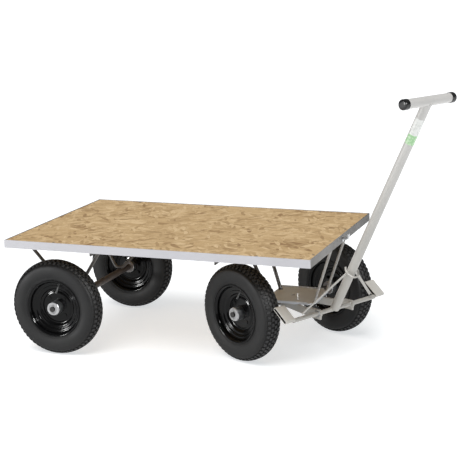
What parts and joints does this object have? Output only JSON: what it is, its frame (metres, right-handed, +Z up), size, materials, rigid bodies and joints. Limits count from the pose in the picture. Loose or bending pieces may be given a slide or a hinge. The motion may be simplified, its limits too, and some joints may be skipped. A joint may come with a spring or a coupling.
{
  "type": "platform trolley",
  "caption": "Hand-pulled platform trolley: board deck on an angle frame, air-tyred wheels, turntable front axle and a hinged T handle with tyre brakes.",
  "frame": {"origin": "on the floor under the middle of the deck", "axes": "+X forwards, towards the tow handle; +Y to the trolley's left; +Z up"},
  "size_m": [1.6586, 0.8141, 1.0033],
  "materials": {
    "deck_board": "pressed wood strands, lightly sealed",
    "frame_paint": "light grey powder coat",
    "handle_paint": "light warm grey powder coat",
    "axle_steel": "drawn bar, dulled",
    "zinc": "bright zinc plating",
    "bearing_steel": "ground steel",
    "rim_paint": "gloss black enamel",
    "tyre_rubber": "matte rubber",
    "grip_rubber": "smooth black",
    "label_film": "glossy film, white with a green band"
  },
  "bodies": {
    "chassis": {"deck_board": "deck_board", "front_rail": "frame_paint", "rear_rail": "frame_paint", "left_rail": "frame_paint", "right_rail": "frame_paint", "cross_members": "frame_paint", "deck_screws": "zinc", "left_v_stay": "frame_paint", "right_v_stay": "frame_paint", "rear_axle": "axle_steel", "rear_axle_fasteners": "zinc", "front_left_stay": "frame_paint", "front_right_stay": "frame_paint", "rear_left_stay": "frame_paint", "rear_right_stay": "frame_paint", "upper_turntable_plate": "frame_paint", "kingpin": "axle_steel", "kingpin_nut": "zinc", "grease_nipple": "zinc", "latch_hook": "zinc"},
    "steering": {"steering_head": "frame_paint", "front_axle": "axle_steel", "left_drawbar_arm": "handle_paint", "right_drawbar_arm": "handle_paint", "front_axle_fasteners": "zinc"},
    "handle": {"handle_shaft": "handle_paint", "grip_tube": "handle_paint", "grip_end_caps": "grip_rubber", "pivot_rod": "handle_paint", "pivot_washers": "zinc", "left_brace": "handle_paint", "right_brace": "handle_paint", "catch_ring": "handle_paint", "left_brake_shoe": "handle_paint", "right_brake_shoe": "handle_paint", "handle_label": "label_film"},
    "front_left_wheel": {"front_left_tyre": "tyre_rubber", "front_left_outer_rim": "rim_paint", "front_left_inner_rim": "rim_paint", "front_left_hub": "zinc", "front_left_bearings": "bearing_steel", "front_left_rim_bolts": "rim_paint"},
    "front_right_wheel": {"front_right_tyre": "tyre_rubber", "front_right_outer_rim": "rim_paint", "front_right_inner_rim": "rim_paint", "front_right_hub": "zinc", "front_right_bearings": "bearing_steel", "front_right_rim_bolts": "rim_paint"},
    "rear_left_wheel": {"rear_left_tyre": "tyre_rubber", "rear_left_outer_rim": "rim_paint", "rear_left_inner_rim": "rim_paint", "rear_left_hub": "zinc", "rear_left_bearings": "bearing_steel", "rear_left_rim_bolts": "rim_paint"},
    "rear_right_wheel": {"rear_right_tyre": "tyre_rubber", "rear_right_outer_rim": "rim_paint", "rear_right_inner_rim": "rim_paint", "rear_right_hub": "zinc", "rear_right_bearings": "bearing_steel", "rear_right_rim_bolts": "rim_paint"}
  },
  "joints": [
    {"name": "steering_turn", "type": "hinge", "parent": "chassis", "child": "steering", "pos_m": [0.406, 0, 0.182], "axis": [0, 0, 1], "range_deg": [-8.1, 61.9]},
    {"name": "handle_tilt", "type": "hinge", "parent": "steering", "child": "handle", "pos_m": [0.59684, -0.09682, 0.1892], "axis": [0.4524, 0.8918, 0], "range_deg": [-6, 70]},
    {"name": "front_left_wheel_spin", "type": "hinge", "parent": "steering", "child": "front_left_wheel", "pos_m": [0.50127, 0.232, 0.182], "axis": [0.4524, 0.8918, 0], "continuous": true},
    {"name": "front_right_wheel_spin", "type": "hinge", "parent": "steering", "child": "front_right_wheel", "pos_m": [0.27505, -0.2139, 0.182], "axis": [0.4524, 0.8918, 0], "continuous": true},
    {"name": "rear_left_wheel_spin", "type": "hinge", "parent": "chassis", "child": "rear_left_wheel", "pos_m": [-0.425, 0.331, 0.182], "axis": [0, 1, 0], "continuous": true},
    {"name": "rear_right_wheel_spin", "type": "hinge", "parent": "chassis", "child": "rear_right_wheel", "pos_m": [-0.425, -0.331, 0.182], "axis": [0, 1, 0], "continuous": true}
  ]
}
